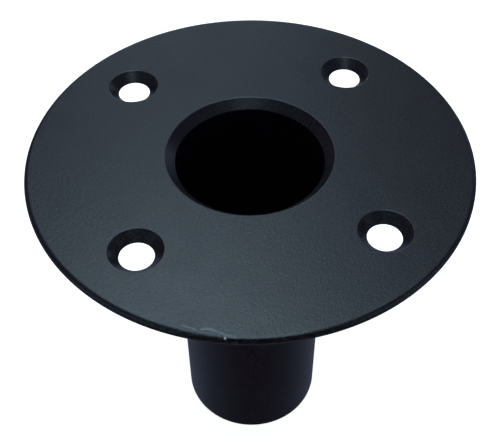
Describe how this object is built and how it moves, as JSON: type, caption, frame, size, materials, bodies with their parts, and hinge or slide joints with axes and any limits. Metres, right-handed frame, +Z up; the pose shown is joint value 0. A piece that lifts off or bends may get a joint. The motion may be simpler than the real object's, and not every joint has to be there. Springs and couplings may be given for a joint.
{
  "type": "flush flag pole socket",
  "caption": "Round flush-mounting flange plate with countersunk screw holes and a bevelled central mouth, over a blind tube that holds one upright pole.",
  "frame": {"origin": "centre of the tube's lower end, on the pole's axis", "axes": "+Z runs up the pole's axis and out of the mouth; the screw holes lie on the diagonals between +X and +Y"},
  "size_m": [0.11, 0.11, 0.1],
  "materials": {
    "flange_coat": "satin black powder coat",
    "tube_coat": "satin black powder coat",
    "disc_coat": "satin black powder coat",
    "weld_coat": "satin black powder coat over a weld bead"
  },
  "bodies": {
    "root": {"flange_plate": "flange_coat", "socket_tube": "tube_coat", "end_disc": "disc_coat", "flange_weld": "weld_coat", "end_weld": "weld_coat"}
  },
  "joints": []
}
